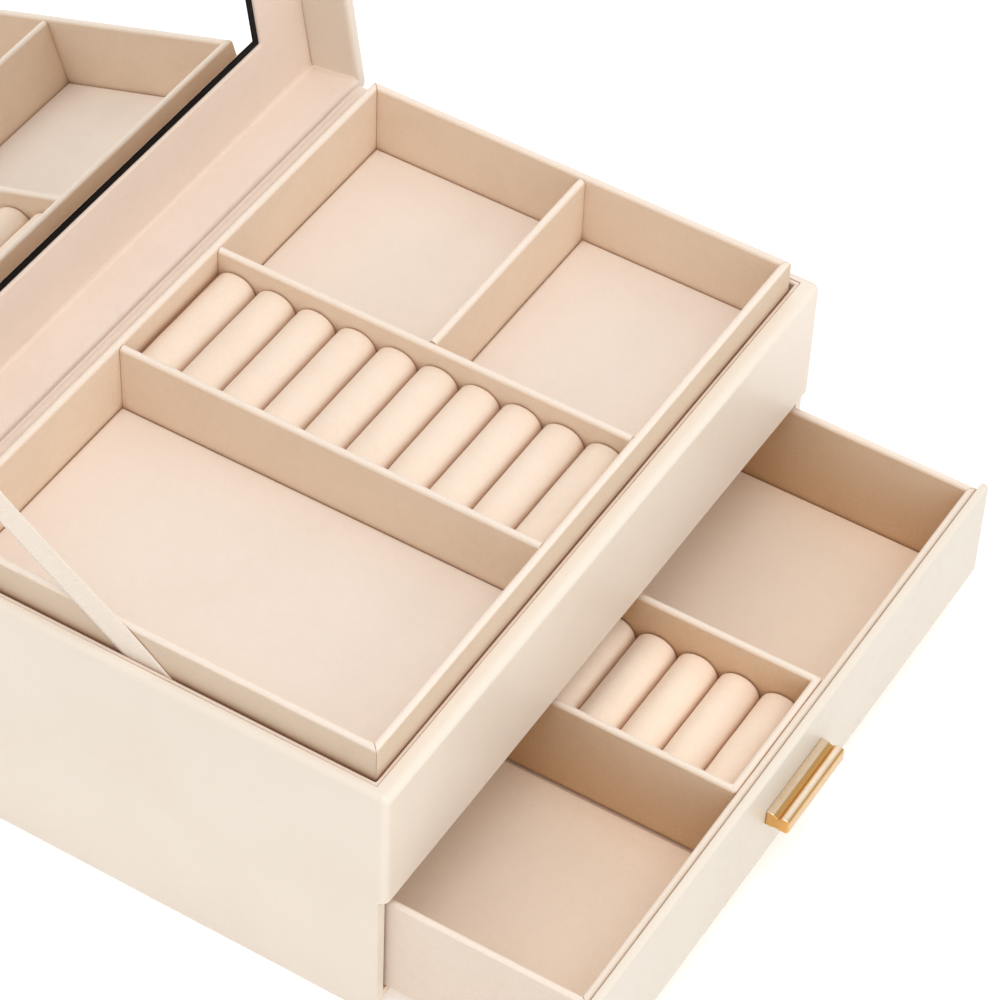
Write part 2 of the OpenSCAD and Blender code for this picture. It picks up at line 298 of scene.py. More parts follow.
# painted light: the lighter colour given to the up-facing faces of the velvet walls
C_PAINTED_TOP_LIGHT = lin(240, 227, 215)
M_VELVET = velvet("velvet_beige", C_VELVET, top=C_PAINTED_TOP_LIGHT)
# painted shade: the drawer velvet is multiplied towards warm brown where ambient occlusion within 120 mm is low,
# deepest under the case; level faces get the lighter top colour, painted light
M_DEEP = velvet("velvet_drawer", lin(240, 219, 196), top=C_PAINTED_TOP_LIGHT, painted_recess_light_shade=(0.63, 0.40, 0.15, 1.0))
M_DRAWER_OUT = velvet("velvet_drawer_outside", lin(228, 211, 196))
# painted shade: the outward faces of the tray walls take this darker copy of the wall velvet, darkened further where
# ambient occlusion within 12 mm is low; level faces still get the lighter top colour, painted light
M_OUTER = velvet("velvet_outer", lin(214, 193, 171), top=C_PAINTED_TOP_LIGHT, sheen=0.12,
                 painted_recess_light_shade=(0.82, 0.68, 0.54, 1.0), reach=(0.012, 0.35, 0.78))
# painted light: the floors take a lighter, less saturated copy of the wall velvet, for the light that falls on them
# from above
M_FLOOR_VELVET = velvet("velvet_floor", lin(234, 220, 208), sheen=0.2, cloudy=0.55)
# painted light: the drawer floors are a lighter copy of the floor velvet, brightened further where ambient occlusion
# within 120 mm is low, standing in for warm bounce light
M_FLOOR_DEEP = velvet("velvet_drawer_floor", lin(240, 224, 208), sheen=0.2, cloudy=0.6,
                      painted_recess_light_shade=(1.13, 1.07, 1.0, 1.0), reach=(0.12, 0.2, 0.45))
M_FRAME_VELVET = velvet("velvet_frame", lin(233, 214, 199), sheen=0.2, cloudy=0.7)
M_HINGE_VELVET = velvet("velvet_hinge", lin(236, 219, 206), sheen=0.22, cloudy=0.7)
M_ROLL = velvet("velvet_roll", C_ROLL, sheen=0.3, grain=1.1, cloudy=0.8)
# painted light: the drawer rolls take a lighter copy of the roll velvet, to make up for the shade of the case above
# them
M_ROLL_PAINTED_LIGHT = velvet("velvet_roll_drawer", lin(250, 232, 214), sheen=0.3, grain=1.1, cloudy=0.8)


def make_ribbon_mat():
    m = Mat("ribbon_cream")
    v = m.coords()
    rot = m.coords(rot=(math.radians(-41), 0, 0))
    wave = m.n("ShaderNodeTexWave")
    wave.wave_type = "BANDS"
    wave.bands_direction = "Y"
    wave.inputs["Scale"].default_value = 420.0
    wave.inputs["Distortion"].default_value = 0.25
    wave.inputs["Detail"].default_value = 1.0
    m.link(rot, wave.inputs["Vector"])
    thread = m.noise(v, 3200.0, 2.0, 0.6)
    base = lin(240, 227, 213)
    col = m.ramp(wave.outputs["Fac"], [(0.0, scaled(base, (0.95, 0.935, 0.915))), (0.6, base),
                                       (1.0, scaled(base, (1.02, 1.02, 1.025)))])
    col = m.mix(m.map(thread, 0.3, 0.7, 0.0, 0.2), col, scaled(base, (0.92, 0.9, 0.87)))
    m.color(col)
    n1 = m.bump(wave.outputs["Fac"], 0.35, 0.00012)
    m.normal(m.bump(thread, 0.2, 0.00006, n1))
    m.rough(m.map(thread, 0.3, 0.7, 0.55, 0.7))
    m.set(Sheen_Weight=0.25, Sheen_Roughness=0.35, Specular_IOR_Level=0.3)
    return m.m


def make_gold(name, base):
    m = Mat(name)
    v = m.coords(scale=(6, 90, 90))
    streak = m.noise(v, 60.0, 3.0, 0.6)
    cloud = m.noise(m.coords(), 140.0, 2.0, 0.5)
    m.color(m.ramp(cloud, [(0.35, scaled(base, (0.97, 0.95, 0.92))), (0.65, scaled(base, (1.02, 1.02, 1.03)))]))
    m.rough(m.map(streak, 0.3, 0.7, 0.24, 0.34))
    m.normal(m.bump(streak, 0.04, 0.00004))
    m.set(Metallic=1.0)
    return m.m


def make_mirror():
    m = Mat("mirror_silver")
    v = m.coords()
    haze = m.noise(v, 30.0, 2.0, 0.5)
    m.color(m.ramp(haze, [(0.3, (0.87, 0.885, 0.89, 1)), (0.7, (0.90, 0.91, 0.912, 1))]))
    m.rough(m.map(haze, 0.2, 0.8, 0.004, 0.018))
    m.set(Metallic=1.0)
    return m.m


def make_black():
    m = Mat("black_edge")
    v = m.coords()
    s = m.noise(v, 700.0, 2.0, 0.5)
    m.color(m.ramp(s, [(0.3, (0.0015, 0.001, 0.001, 1)), (0.7, (0.004, 0.003, 0.003, 1))]))
    m.rough(m.map(s, 0.3, 0.7, 0.35, 0.5))
    m.normal(m.bump(s, 0.05, 0.00005))
    m.set(Specular_IOR_Level=0.08)
    return m.m


def make_board():
    m = Mat("fibreboard")
    v = m.coords()
    f = m.noise(v, 800.0, 4.0, 0.7)
    g = m.noise(v, 60.0, 3.0, 0.5)
    m.color(m.ramp(m.math("ADD", m.math("MULTIPLY", f, 0.6), m.math("MULTIPLY", g, 0.4)),
                   [(0.35, lin(140, 108, 76)), (0.65, lin(176, 142, 105))]))
    m.rough(m.map(f, 0.3, 0.7, 0.75, 0.9))
    m.normal(m.bump(f, 0.3, 0.0002))
    return m.m


def make_steel():
    m = Mat("screw_steel")
    v = m.coords()
    f = m.noise(v, 1500.0, 3.0, 0.6)
    m.color(m.ramp(f, [(0.3, (0.50, 0.50, 0.51, 1)), (0.7, (0.62, 0.62, 0.63, 1))]))
    m.rough(m.map(f, 0.3, 0.7, 0.25, 0.4))
    m.set(Metallic=1.0)
    return m.m


M_RIBBON = make_ribbon_mat()
M_GOLD = make_gold("gold_pull", lin(250, 230, 204))
# painted shade: darker copies of the gold for the faces looking out, the hollow and the ends of the pull, standing in
# for dark reflections
M_GOLD_FRONT = make_gold("gold_pull_front", lin(203, 171, 128))
M_GOLD_PAINTED_SHADE = make_gold("gold_pull_painted_shade", lin(226, 178, 110))
M_MIRROR = make_mirror()
M_BLACK = make_black()
M_BOARD = make_board()
M_STEEL = make_steel()

# --------------------------------------------------------------------------
# mesh making


def fbm(p, size, seed=0.0, octaves=2):
    """Smooth noise about zero; size is the length of its waves in mm."""
    v = Vector((p[0] / size + seed * 7.31, p[1] / size + seed * 3.17, p[2] / size + seed * 5.53))
    out, amp = 0.0, 1.0
    for _ in range(octaves):
        out += noise.noise(v) * amp
        v = v * 2.03
        amp *= 0.45
    return out


def steps(lo, hi, rl, rh, step, n):
    length = hi - lo
    if rl + rh > length:
        k = length / (rl + rh) * 0.999
        rl, rh = rl * k, rh * k
    out = [lo + rl - rl * math.tan(math.pi / 4 * k / n) for k in range(n, 0, -1)]
    a, b = lo + rl, hi - rh
    if b - a < 1e-4:
        out.append((a + b) / 2)
    else:
        m = max(1, int(round((b - a) / step)))
        edge = min(0.35, (b - a) / 4)
        inner = [a + (b - a) * i / m for i in range(m + 1)]
        if m == 1 and b - a > 1.2:
            inner = [a, a + edge, b - edge, b]
        elif m > 1:
            inner = [a, a + edge] + inner[1:-1] + [b - edge, b]
        out += inner
    out += [hi - rh + rh * math.tan(math.pi / 4 * k / n) for k in range(1, n + 1)]
    return out, rl, rh


def rounded_box(lo, hi, rlo, rhi, step=7.0, n=4):
    """Vertices and faces of a box whose edges are rounded; each of its six
    sides has its own rounding depth."""
    ax, rl, rh = [], [], []
    for i in range(3):
        s = step[i] if isinstance(step, (tuple, list)) else step
        c, a, b = steps(lo[i], hi[i], rlo[i], rhi[i], s, n)
        ax.append(c); rl.append(a); rh.append(b)
    nx, ny, nz = (len(c) for c in ax)
    index, verts = {}, []

    def vert(i, j, k):
        key = (i, j, k)
        if key in index:
            return index[key]
        p = [ax[0][i], ax[1][j], ax[2][k]]
        pin, d = [], []
        for q in range(3):
            a, b = lo[q] + rl[q], hi[q] - rh[q]
            c = min(max(p[q], a), b)
            r = rl[q] if p[q] < c else rh[q]
            pin.append(c)
            d.append((p[q] - c) / max(r, 1e-9))
        s = math.sqrt(sum(t * t for t in d))
        if s > 1e-9:
            out = []
            for q in range(3):
                r = rl[q] if p[q] < pin[q] else rh[q]
                out.append(pin[q] + d[q] / s * r)
            p = out
        index[key] = len(verts)
        verts.append(tuple(p))
        return index[key]

    faces = []

    def quad(a, b, c, d):
        faces.append((vert(*a), vert(*b), vert(*c), vert(*d)))

    for i in range(nx - 1):
        for j in range(ny - 1):
            quad((i, j, 0), (i, j + 1, 0), (i + 1, j + 1, 0), (i + 1, j, 0))
            k = nz - 1
            quad((i, j, k), (i + 1, j, k), (i + 1, j + 1, k), (i, j + 1, k))
    for i in range(nx - 1):
        for k in range(nz - 1):
            quad((i, 0, k), (i + 1, 0, k), (i + 1, 0, k + 1), (i, 0, k + 1))
            j = ny - 1
            quad((i, j, k), (i, j, k + 1), (i + 1, j, k + 1), (i + 1, j, k))
    for j in range(ny - 1):
        for k in range(nz - 1):
            quad((0, j, k), (0, j, k + 1), (0, j + 1, k + 1), (0, j + 1, k))
            i = nx - 1
            quad((i, j, k), (i, j + 1, k), (i, j + 1, k + 1), (i, j, k + 1))
    return verts, faces


def ring(x0, x1, y0, y1, tx0, tx1, ty0, ty1, z0, z1, ro, ri, top_o, top_i, bot_o, bot_i, step=7.0, n=6, m=5):
    """A closed rectangular band with round corners in plan and round edges.
    t* are the widths of its four sides; ro and ri the plan radii outside and
    inside; top_* and bot_* the edge radii of the outer and inner walls."""
    ix0, ix1, iy0, iy1 = x0 + tx0, x1 - tx1, y0 + ty0, y1 - ty1
    cols = []                       # outer centre, inner centre, direction
    corners = [((x1 - ro, y0 + ro), (ix1 - ri, iy0 + ri), -90),
               ((x1 - ro, y1 - ro), (ix1 - ri, iy1 - ri), 0),
               ((x0 + ro, y1 - ro), (ix0 + ri, iy1 - ri), 90),
               ((x0 + ro, y0 + ro), (ix0 + ri, iy0 + ri), 180)]
    for c in range(4):
        oc, ic, a0 = corners[c]
        for k in range(n + 1):
            a = math.radians(a0 + 90.0 * k / n)
            cols.append((oc, ic, (math.cos(a), math.sin(a))))
        noc, nic, _ = corners[(c + 1) % 4]
        a = math.radians(a0 + 90)
        d = (math.cos(a), math.sin(a))
        length = math.hypot(noc[0] - oc[0], noc[1] - oc[1])
        q = max(2, int(length / step))
        for k in range(1, q):
            t = k / q
            cols.append(((oc[0] + (noc[0] - oc[0]) * t, oc[1] + (noc[1] - oc[1]) * t),
                         (ic[0] + (nic[0] - ic[0]) * t, ic[1] + (nic[1] - ic[1]) * t), d))
    prof = []                       # (side, inward offset, z): side 0 outer, 1 inner
    for k in range(m + 1):
        a = math.pi / 2 * k / m
        prof.append((0, bot_o * (1 - math.sin(a)), z0 + bot_o * (1 - math.cos(a))))
    q = max(1, int((z1 - z0) / step))
    for k in range(1, q):
        prof.append((0, 0.0, z0 + bot_o + (z1 - top_o - z0 - bot_o) * k / q))
    for k in range(m + 1):
        a = math.pi / 2 * k / m
        prof.append((0, top_o * (1 - math.cos(a)), z1 - top_o + top_o * math.sin(a)))
    for k in range(m + 1):
        a = math.pi / 2 * k / m
        prof.append((1, top_i * (1 - math.sin(a)), z1 - top_i + top_i * math.cos(a)))
    for k in range(1, q):
        prof.append((1, 0.0, z1 - top_i - (z1 - top_i - z0 - bot_i) * k / q))
    for k in range(m + 1):
        a = math.pi / 2 * k / m
        prof.append((1, bot_i * (1 - math.cos(a)), z0 + bot_i - bot_i * math.sin(a)))
    verts, faces = [], []
    for oc, ic, d in cols:
        for side, off, z in prof:
            if side == 0:
                verts.append((oc[0] + (ro - off) * d[0], oc[1] + (ro - off) * d[1], z))
            else:
                verts.append((ic[0] + (ri + off) * d[0], ic[1] + (ri + off) * d[1], z))
    np_, nc = len(prof), len(cols)
    for c in range(nc):
        for k in range(np_):
            a = c * np_ + k
            b = c * np_ + (k + 1) % np_
            e = ((c + 1) % nc) * np_ + (k + 1) % np_
            f = ((c + 1) % nc) * np_ + k
            faces.append((a, f, e, b))
    return verts, faces


def build(name, verts, faces, mat, body, replaces=(), place=same, wob=None,
          smooth=True, weighted=True, sub=0, parent_ride=True):
    """A mesh object from millimetre vertices. wob(p, n) gives an offset along
    the normal; place() carries the finished piece to where it sits."""
    mesh = bpy.data.meshes.new(name)
    mesh.from_pydata([tuple(v) for v in verts], [], faces)
    bm = bmesh.new()
    bm.from_mesh(mesh)
    bmesh.ops.remove_doubles(bm, verts=bm.verts, dist=1e-4)
    bmesh.ops.dissolve_degenerate(bm, edges=bm.edges, dist=1e-5)
    bmesh.ops.recalc_face_normals(bm, faces=bm.faces)
    bm.normal_update()
    if wob is not None:
        moves = [v.normal * wob(v.co, v.normal) for v in bm.verts]
        for v, d in zip(bm.verts, moves):
            v.co += d
    for v in bm.verts:
        v.co = P(*place(tuple(v.co)))
    bmesh.ops.recalc_face_normals(bm, faces=bm.faces)
    for f in bm.faces:
        f.smooth = smooth
    bm.to_mesh(mesh)
    bm.free()
    mesh.update()
    obj = bpy.data.objects.new(name, mesh)
    bpy.context.scene.collection.objects.link(obj)
    mesh.materials.append(mat)
    if sub:
        s = obj.modifiers.new("smooth", "SUBSURF")
        s.levels = s.render_levels = sub
    if weighted:
        w = obj.modifiers.new("normals", "WEIGHTED_NORMAL")
        w.mode = "FACE_AREA"
        w.weight = 60
        w.keep_sharp = True
    if body:
        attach(obj, body)
    if replaces:
        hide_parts(*replaces)
    return obj


def apply_modifiers(obj):
    bpy.context.view_layer.update()
    dg = bpy.context.evaluated_depsgraph_get()
    new = bpy.data.meshes.new_from_object(obj.evaluated_get(dg))
    mats = [s.material for s in obj.material_slots]
    obj.modifiers.clear()
    old = obj.data
    obj.data = new
    bpy.data.meshes.remove(old)
    new.materials.clear()
    for mt in mats:
        new.materials.append(mt)


def plain_object(name, verts, faces):
    mesh = bpy.data.meshes.new(name)
    mesh.from_pydata([tuple(v) for v in verts], [], faces)
    bm = bmesh.new()
    bm.from_mesh(mesh)
    bmesh.ops.remove_doubles(bm, verts=bm.verts, dist=1e-4)
    bmesh.ops.recalc_face_normals(bm, faces=bm.faces)
    bm.to_mesh(mesh)
    bm.free()
    obj = bpy.data.objects.new(name, mesh)
    bpy.context.scene.collection.objects.link(obj)
    return obj


def box_object(name, lo, hi):
    x0, y0, z0 = lo
    x1, y1, z1 = hi
    v = [(x0, y0, z0), (x1, y0, z0), (x1, y1, z0), (x0, y1, z0),
         (x0, y0, z1), (x1, y0, z1), (x1, y1, z1), (x0, y1, z1)]
    f = [(0, 3, 2, 1), (4, 5, 6, 7), (0, 1, 5, 4), (1, 2, 6, 5), (2, 3, 7, 6), (3, 0, 4, 7)]
    return plain_object(name, v, f)


def carved(name, verts, faces, cutters, bevel, mat, body, replaces, place=same, wob=None,
           angle=35.0, segments=4):
    """A rounded solid with boxes cut out of it and the cut edges rounded."""
    obj = plain_object(name, verts, faces)
    for i, (lo, hi) in enumerate(cutters):
        cut = box_object(f"{name}_cut{i}", lo, hi)
        b = obj.modifiers.new("cut", "BOOLEAN")
        b.operation = "DIFFERENCE"
        b.solver = "EXACT"
        b.object = cut
        apply_modifiers(obj)
        bpy.data.objects.remove(cut)
    bm = bmesh.new()
    bm.from_mesh(obj.data)
    bmesh.ops.dissolve_limit(bm, angle_limit=math.radians(0.4), verts=bm.verts, edges=bm.edges)
    sharp = [e for e in bm.edges if len(e.link_faces) == 2 and e.calc_face_angle(0) > math.radians(angle)]
    bmesh.ops.bevel(bm, geom=sharp, offset=bevel, offset_type="OFFSET", segments=segments,
                    profile=0.5, affect="EDGES", clamp_overlap=True)
    bmesh.ops.recalc_face_normals(bm, faces=bm.faces)
    # long faces are cut into a grid, so that the covering can have soft waves
    for ax in range(3):
        los = min(v.co[ax] for v in bm.verts)
        his = max(v.co[ax] for v in bm.verts)
        k = int((his - los) / 9.0)
        for i in range(1, k):
            co = [0, 0, 0]
            no = [0, 0, 0]
            co[ax] = los + (his - los) * i / k
            no[ax] = 1
            bmesh.ops.bisect_plane(bm, geom=bm.verts[:] + bm.edges[:] + bm.faces[:],
                                   plane_co=co, plane_no=no, dist=1e-5)
    verts2 = [tuple(v.co) for v in bm.verts]
    bm.verts.index_update()
    faces2 = [tuple(v.index for v in f.verts) for f in bm.faces]
    bm.free()
    bpy.data.objects.remove(obj)
    return build(name, verts2, faces2, mat, body, replaces, place, wob)


def wobble(size, amp, seed, edge=None):
    def f(p, n):
        return amp * fbm(p, size, seed)
    return f


# --------------------------------------------------------------------------
# camera first: the photograph's own place, direction and roll

cam_data = bpy.data.cameras.new("camera")
cam = bpy.data.objects.new("camera", cam_data)
bpy.context.scene.collection.objects.link(cam)
cam_data.sensor_fit = "HORIZONTAL"
cam_data.sensor_width = 36.0
cam_data.lens = 146.665
cam_data.clip_start, cam_data.clip_end = 0.05, 60.0
right = Vector((0.52578214, -0.85001438, 0.03207315))
up = Vector((0.60505294, 0.40023003, 0.68827819))
back = Vector((-0.597883, -0.34247842, 0.72473751))
rot = Matrix((right, up, back)).transposed().to_4x4()
cam.matrix_world = Matrix.Translation(Vector((-0.67962, -0.41905, 0.90621))) @ rot
bpy.context.scene.camera = cam

# --------------------------------------------------------------------------
# case: one wrapped leather shell over the four boards

v, f = rounded_box((-116.8, -78.5, 0.0), (116.8, 78.5, 93.5),
                   (2.6, 2.6, 0.5), (2.6, 2.6, 2.4), step=12.0, n=6)


def case_wob(p, n):
    return 0.10 * fbm(p, 46.0, 1.0) + 0.03 * fbm(p, 17.0, 2.0)


carved("case_shell", v, f,
       [((-113.4, -73.3, -5.0), (113.4, 75.1, 99.0)),
        ((-120.0, -82.0, -5.0), (120.0, -76.3, 50.5)),
        ((-113.4, -77.0, -5.0), (113.4, -73.0, 50.5))],
       0.9, M_LEATHER, "case",
       ("case_front_upper", "case_side_left", "case_side_right", "case_back"),
       wob=case_wob)

# liner: velvet-covered boards just inside the rim
v, f = ring(-113.2, 113.2, -73.1, 74.8, 1.35, 1.2, 1.2, 2.6, 53.5, 93.4,
            0.4, 0.3, 0.3, 0.8, 0.2, 0.2, step=8.0)
build("liner", v, f, M_HINGE_VELVET, "case",
      ("liner_front", "liner_back", "liner_left", "liner_right"),
      wob=wobble(24.0, 0.05, 3.0))


def pad(name, lo, hi, mat, body, node, place=same, seed=0.0, r=0.8, crown=0.25, gap=0.25):
    """A thin padded floor: soft edges, slightly crowned, uneven."""
    a = (lo[0] + gap, lo[1] + gap, lo[2])
    b = (hi[0] - gap, hi[1] - gap, hi[2])
    vv, ff = rounded_box(a, b, (r, r, 0.1), (r, r, 0.8), step=5.0, n=4)

    def wob(p, n):
        if n[2] < 0.3:
            return 0.0
        ex = min(p[0] - a[0], b[0] - p[0])
        ey = min(p[1] - a[1], b[1] - p[1])
        e = min(ex, ey)
        rise = 1 - math.exp(-max(e, 0) / 6.0)
        return n[2] * (crown * (rise - 0.6) * 0.6 + 0.09 * fbm(p, 21.0, seed) * rise)

    o = build(name, vv, ff, mat, body, (node,), place, wob)
    return o


pad("middle_pad", (-112.1, -72.0, 53.5), (112.1, 72.2, 54.5), M_FLOOR_VELVET, "case",
    "middle_floor_pad", seed=11.0, gap=0.4)

# --------------------------------------------------------------------------
# walls of the tray and drawer: covered boards with a round top edge and ends
# cut to 45 degrees, so that a seam shows at each corner


def wall(name, axis, lo, hi, outer_low, mat, body, node, place=same, seed=0.0, top_r=1.28,
         amp=0.07, bottom_r=0.25, ends=True, end_r=0.12,
         outer=None):
    """axis is the way the wall runs, 0 for x or 1 for y. outer_low says that
    its outer face is the low side across. With ends, both ends are mitred."""
    across = 1 - axis
    rlo, rhi = [0.35] * 3, [0.35] * 3
    rlo[axis] = rhi[axis] = end_r
    t = hi[across] - lo[across]
    rlo[across] = rhi[across] = min(top_r, t / 2 * 0.98)
    rlo[2], rhi[2] = bottom_r, top_r
    st = [6.0, 6.0, 6.0]
    st[across] = 3.0
    vv, ff = rounded_box(lo, hi, rlo, rhi, step=tuple(st), n=5)
    if ends:
        out = []
        for p in vv:
            p = list(p)
            d = (p[across] - lo[across]) if outer_low else (hi[across] - p[across])
            k = (p[axis] - lo[axis]) / (hi[axis] - lo[axis])
            p[axis] = lo[axis] + d + k * ((hi[axis] - d) - (lo[axis] + d))
            out.append(tuple(p))
        vv = out

    def wob(p, n):
        e = min(p[axis] - lo[axis], hi[axis] - p[axis])
        hold = 1 - math.exp(-max(e, 0) / 3.0)
        puff = 0.05 * math.sin(math.pi * min(max((p[2] - lo[2]) / (hi[2] - lo[2]), 0), 1))
        return (amp * fbm(p, 26.0, seed) + 0.035 * fbm(p, 8.0, seed + 1) + puff) * hold

    o = build(name, vv, ff, mat, body, (node,), place, wob)
    # outward faces take the outer material given, a darker painted-shade copy of the wall velvet
    if outer is not None:
        o.data.materials.append(outer)
        side = -1.0 if outer_low else 1.0
        for poly in o.data.polygons:
            if poly.normal[across] * side > 0.85:
                poly.material_index = 1
    return o


TA, TE, TF, TB = -111.2, 109.0, -71.6, 71.8
TZ, TT, TW = 77.6, 104.4, 2.6
wall("tray_front", 0, (TA, TF, TZ), (TE, TF + TW, TT), True, M_VELVET, "tray", "tray_wall_front", seed=21, outer=M_OUTER)
wall("tray_back", 0, (TA, TB - TW, TZ), (TE, TB, TT), False, M_VELVET, "tray", "tray_wall_back", seed=22, outer=M_OUTER)
wall("tray_left", 1, (TA, TF, TZ), (TA + TW, TB, TT), True, M_VELVET, "tray", "tray_wall_left", seed=23, outer=M_OUTER)
wall("tray_right", 1, (TE - TW, TF, TZ), (TE, TB, TT), False, M_VELVET, "tray", "tray_wall_right", seed=24, outer=M_OUTER)
FI, BI, XA, XI = TF + TW, TB - TW, TA + TW, TE - TW
wall("tray_divider_left", 1, (-26.6, FI + 0.05, 79.8), (-24.0, BI - 0.05, 103.6), True, M_VELVET, "tray",
     "divider_left", seed=25, ends=False)
wall("tray_divider_mid", 1, (21.9, FI + 0.05, 79.8), (24.5, BI - 0.05, 103.6), True, M_VELVET, "tray",
     "divider_mid", seed=26, ends=False)
wall("tray_divider_cross", 0, (24.55, -3.8, 79.8), (XI - 0.05, -1.2, 103.6), True, M_VELVET, "tray",
     "divider_cross", seed=27, ends=False)
pad("tray_floor_left", (XA, FI, 79.8), (-26.6, BI, 80.8), M_FLOOR_VELVET, "tray", "tray_pad_left", seed=31)
pad("tray_floor_back", (24.5, -1.2, 79.8), (XI, BI, 80.8), M_FLOOR_VELVET, "tray", "tray_pad_back", seed=32)
pad("tray_floor_front", (24.5, FI, 79.8), (XI, -3.8, 80.8), M_FLOOR_VELVET, "tray", "tray_pad_front", seed=33)


def roll(name, xa, xb, yc, zc, ry, rz, body, nodes, place=same, seed=0.0):
    """One ring roll: a firm foam roll in velvet, a little flat where it
    touches its neighbours, with softly rounded ends."""
    na, nl = 40, 26
    edge = 0.9
    rows = []                                # place along x, inset of the radius
    for k in range(7):
        a = math.pi / 2 * k / 6
        rows.append((xa + edge - edge * math.cos(a), edge - edge * math.sin(a)))
    for k in range(1, nl):
        rows.append((xa + edge + (xb - xa - 2 * edge) * k / nl, 0.0))
    for k in range(6, -1, -1):
        a = math.pi / 2 * k / 6
        rows.append((xb - edge + edge * math.cos(a), edge - edge * math.sin(a)))
    verts, faces = [], []
    p = 2.35                                  # squarer than a circle where it is held
    for x, inset in rows:
        sag = 0.10 * math.sin(math.pi * (x - xa) / (xb - xa))
        for j in range(na):
            a = 2 * math.pi * j / na
            c, s = math.cos(a), math.sin(a)
            q = p if s < 0 else 2.15
            k = (abs(c) ** q + abs(s) ** q) ** (-1 / q)
            y = (ry - inset) * c * k
            z = (rz - inset) * s * k
            bulge = 0.10 * fbm((x, yc + y, zc + z), 9.0, seed) + sag * max(s, 0)
            y2 = y + bulge * c * 0.4
            y2 = max(min(y2, ry), -ry)
            verts.append((x, yc + y2, zc + z + bulge * s))
    nr = len(rows)
    for i in range(nr - 1):
        for j in range(na):
            faces.append((i * na + j, i * na + (j + 1) % na, (i + 1) * na + (j + 1) % na, (i + 1) * na + j))
    # end caps: two inner rings and a centre, flat
    for end, base in ((0, 0), (1, (nr - 1) * na)):
        x = rows[0][0] if end == 0 else rows[-1][0]
        prev = base
        for q, frac in enumerate((0.66, 0.33)):
            start = len(verts)
            for j in range(na):
                vx = verts[base + j]
                verts.append((x, yc + (vx[1] - yc) * frac, zc + (vx[2] - zc) * frac))
            for j in range(na):
                quad = (prev + j, prev + (j + 1) % na, start + (j + 1) % na, start + j)
                faces.append(quad)
            prev = start
        centre = len(verts)
        verts.append((x, yc, zc))
        for j in range(na):
            faces.append((prev + j, prev + (j + 1) % na, centre))
    # the drawer rolls take the lighter roll velvet copy: painted light
    o = build(name, verts, faces, M_ROLL if body == "tray" else M_ROLL_PAINTED_LIGHT, body, nodes,
              place, None)
    return o


def roll_row(prefix, xa, xb, ya, yb, zc, body, node, place, seed, rz=6.9):
    n = 10
    pitch = (yb - ya) / n
    for i in range(n):
        jit = noise.noise(Vector((seed, i * 1.7, 0.3)))
        jit2 = noise.noise(Vector((seed + 5.0, i * 2.3, 0.7)))
        roll(f"{prefix}_{i + 1:02d}", xa + 0.15 + 0.1 * jit, xb - 0.15 + 0.1 * jit2,
             ya + pitch * (i + 0.5), zc - 0.05 + 0.16 * jit, pitch / 2 - 0.03, rz, body, (node,),
             place, seed + i)


roll_row("tray_roll", -23.95, 21.85, FI, BI, 91.1, "tray", "ring_rolls_tray", same, 41.0)

# --------------------------------------------------------------------------
# drawer, in its closed place and moved out

D = drawer_place
DX, DF, DB = 112.2, -76.6, 71.5
DZ0, DZ1 = 9.2, 45.7
dfi, dbi = DF + 2.7, DB - 2.6
wall("drawer_wall_f", 0, (-DX, DF, DZ0), (DX, dfi, DZ1), True, M_DEEP, "drawer", "drawer_wall_front",
     place=D, seed=51, top_r=1.2)
wall("drawer_wall_b", 0, (-DX, dbi, DZ0), (DX, DB, DZ1), False, M_DEEP, "drawer", "drawer_wall_back",
     place=D, seed=52, outer=M_DRAWER_OUT)
wall("drawer_wall_l", 1, (-DX, DF, DZ0), (-DX + 2.6, DB, DZ1), True, M_DEEP, "drawer", "drawer_wall_left",
     place=D, seed=53, outer=M_DRAWER_OUT)
wall("drawer_wall_r", 1, (DX - 2.6, DF, DZ0), (DX, DB, DZ1), False, M_DEEP, "drawer", "drawer_wall_right",
     place=D, seed=54, outer=M_DRAWER_OUT)
pad("drawer_floor_l", (-DX + 2.6, dfi, 11.2), (-27.8, dbi, 12.2), M_FLOOR_DEEP, "drawer",
    "drawer_pad_left", place=D, seed=55)
pad("drawer_floor_r", (22.3, dfi, 11.2), (DX - 2.6, dbi, 12.2), M_FLOOR_DEEP, "drawer",
    "drawer_pad_right", place=D, seed=56)

# ring insert: four thin walls that turn the corners in one piece
v, f = ring(-27.75, 22.25, dfi + 0.05, dbi - 0.05, 2.55, 2.55, 2.55, 2.55, 12.8, 45.5,
            1.1, 0.4, 1.2, 1.2, 0.3, 0.3, step=6.0)
build("ring_insert", v, f, M_DEEP, "drawer",
      ("insert_left", "insert_right", "insert_front", "insert_back"),
      place=D, wob=wobble(18.0, 0.06, 57.0))
roll_row("drawer_roll", -25.15, 19.65, dfi + 3.4, dbi - 2.6, 26.9, "drawer", "ring_rolls_drawer", D, 61.0,
         rz=7.25)

# leather drawer panel, softly padded, with round edges
v, f = rounded_box((-114.4, -79.6, 10.1), (114.4, -76.75, 47.1), (2.0, 1.4, 1.5), (2.0, 0.6, 1.7),
                   step=(6.0, 3.0, 4.0), n=5)


def panel_wob(p, n):
    if n[1] > 0.5:
        return 0.0
    e = min(p[0] + 114.4, 114.4 - p[0], p[2] - 10.1, 47.1 - p[2])
    return 0.10 * (1 - math.exp(-max(e, 0) / 5)) + 0.05 * fbm(p, 38.0, 71.0) - 0.06


build("drawer_panel", v, f, M_PANEL, "drawer", ("drawer_front",), place=D, wob=panel_wob)


